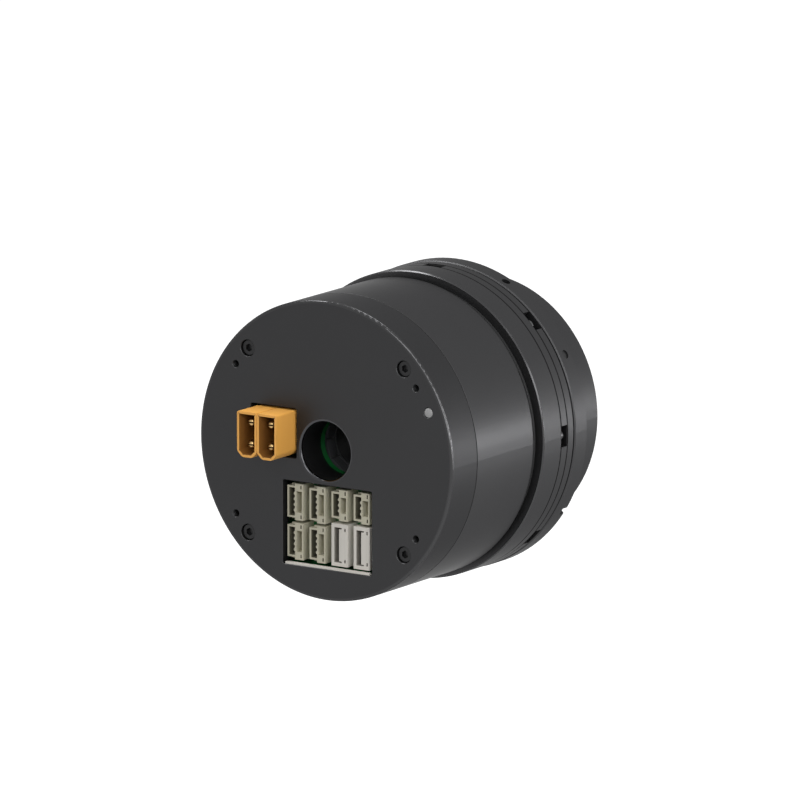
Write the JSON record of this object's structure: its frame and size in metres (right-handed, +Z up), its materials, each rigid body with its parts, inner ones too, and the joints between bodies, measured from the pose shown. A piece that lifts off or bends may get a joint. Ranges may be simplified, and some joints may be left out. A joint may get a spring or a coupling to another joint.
{
  "type": "robot joint actuator",
  "caption": "Round hollow-shaft joint actuator: frameless motor, strain-wave gear and crossed-roller output flange, with rear board headers and a through bore.",
  "frame": {"origin": "centre of the rear face, on the rotation axis", "axes": "+Y along the rotation axis towards the output flange, +Z up, +X to the right when looking along +Y at the rear face"},
  "size_m": [0.0694, 0.0716, 0.0694],
  "materials": {
    "cover_grey": "satin dark grey anodised look",
    "housing_grey": "satin grey anodised look",
    "ring_grey": "satin grey, fine turned",
    "steel_dark": "black-oxide steel screw",
    "steel": "ground steel",
    "bearing_steel": "polished bearing steel",
    "amber_plastic": "moulded amber nylon",
    "beige_plastic": "moulded beige nylon",
    "white_plastic": "moulded off-white nylon",
    "gold_contact": "gold-plated contact",
    "tin_contact": "tinned contact",
    "board_green": "solder mask",
    "black_plastic": "moulded black epoxy",
    "rubber_black": "black nitrile",
    "copper": "enamelled copper wire",
    "light_pipe": "frosted clear",
    "lamination": "stacked laminations",
    "magnet": "plated magnet",
    "brass": "plain brass",
    "aluminium": "machined aluminium",
    "tube_dark": "dark anodised bore"
  },
  "bodies": {
    "housing": {"rear_cover": "cover_grey", "cover_screws": "steel_dark", "led_light_pipe": "light_pipe", "power_header_housings": "amber_plastic", "power_header_pins": "gold_contact", "signal_headers_4_way": "beige_plastic", "signal_headers_3_way": "beige_plastic", "service_headers": "white_plastic", "signal_header_contacts": "tin_contact", "service_header_contacts": "tin_contact", "connector_sill": "white_plastic", "driver_board": "board_green", "board_spacers": "brass", "board_screws": "steel_dark", "power_transistors": "black_plastic", "bus_capacitors": "tin_contact", "microcontroller": "black_plastic", "encoder_board": "board_green", "encoder_sensors": "black_plastic", "encoder_board_screws": "steel_dark", "rear_bearing_plate": "aluminium", "motor_housing": "housing_grey", "stator_core": "lamination", "stator_windings": "copper", "rear_bearing_outer_ring": "bearing_steel", "front_bearing_outer_ring": "bearing_steel", "shaft_oil_seal": "rubber_black", "neck_seal": "rubber_black", "circular_spline": "ring_grey", "bearing_outer_ring_rear": "ring_grey", "bearing_outer_ring_front": "ring_grey", "gear_screws": "steel_dark", "index_pins": "steel", "bearing_lip_seal": "rubber_black"},
    "rotor": {"motor_shaft": "steel", "rotor_back_iron": "steel", "rotor_magnets": "magnet", "input_encoder_magnet": "magnet", "rear_bearing_inner_ring": "bearing_steel", "front_bearing_inner_ring": "bearing_steel", "wave_generator_cam": "steel", "wave_bearing_inner_race": "bearing_steel", "wave_bearing_balls": "bearing_steel", "wave_bearing_outer_race": "bearing_steel", "shaft_lock_nut": "steel_dark"},
    "output": {"output_flange": "ring_grey", "bearing_inner_ring": "bearing_steel", "inner_ring_screws": "steel_dark", "flexspline": "steel", "flexspline_clamp_ring": "steel", "flexspline_screws": "steel_dark", "center_tube": "tube_dark", "output_encoder_magnet": "magnet", "tube_o_ring": "rubber_black", "flange_set_screws": "steel"},
    "rear_balls": {"rear_bearing_balls": "bearing_steel"},
    "front_balls": {"front_bearing_balls": "bearing_steel"},
    "rollers": {"cross_rollers": "bearing_steel"}
  },
  "joints": [
    {"name": "output_spin", "type": "hinge", "parent": "housing", "child": "output", "pos_m": [0, 0.044, 0], "axis": [0, 1, 0], "continuous": true},
    {"name": "rotor_spin", "type": "hinge", "parent": "housing", "child": "rotor", "pos_m": [0, 0.044, 0], "axis": [0, 1, 0], "continuous": true},
    {"name": "rear_ball_orbit", "type": "hinge", "parent": "housing", "child": "rear_balls", "pos_m": [0, 0.044, 0], "axis": [0, 1, 0], "continuous": true},
    {"name": "front_ball_orbit", "type": "hinge", "parent": "housing", "child": "front_balls", "pos_m": [0, 0.044, 0], "axis": [0, 1, 0], "continuous": true},
    {"name": "roller_orbit", "type": "hinge", "parent": "housing", "child": "rollers", "pos_m": [0, 0.044, 0], "axis": [0, 1, 0], "continuous": true}
  ],
  "couplings": [
    {"joint": "rotor_spin", "follows": "output_spin", "ratio": -50},
    {"joint": "rear_ball_orbit", "follows": "output_spin", "ratio": -23.085},
    {"joint": "front_ball_orbit", "follows": "output_spin", "ratio": -23.085},
    {"joint": "roller_orbit", "follows": "output_spin", "ratio": 0.4828}
  ]
}
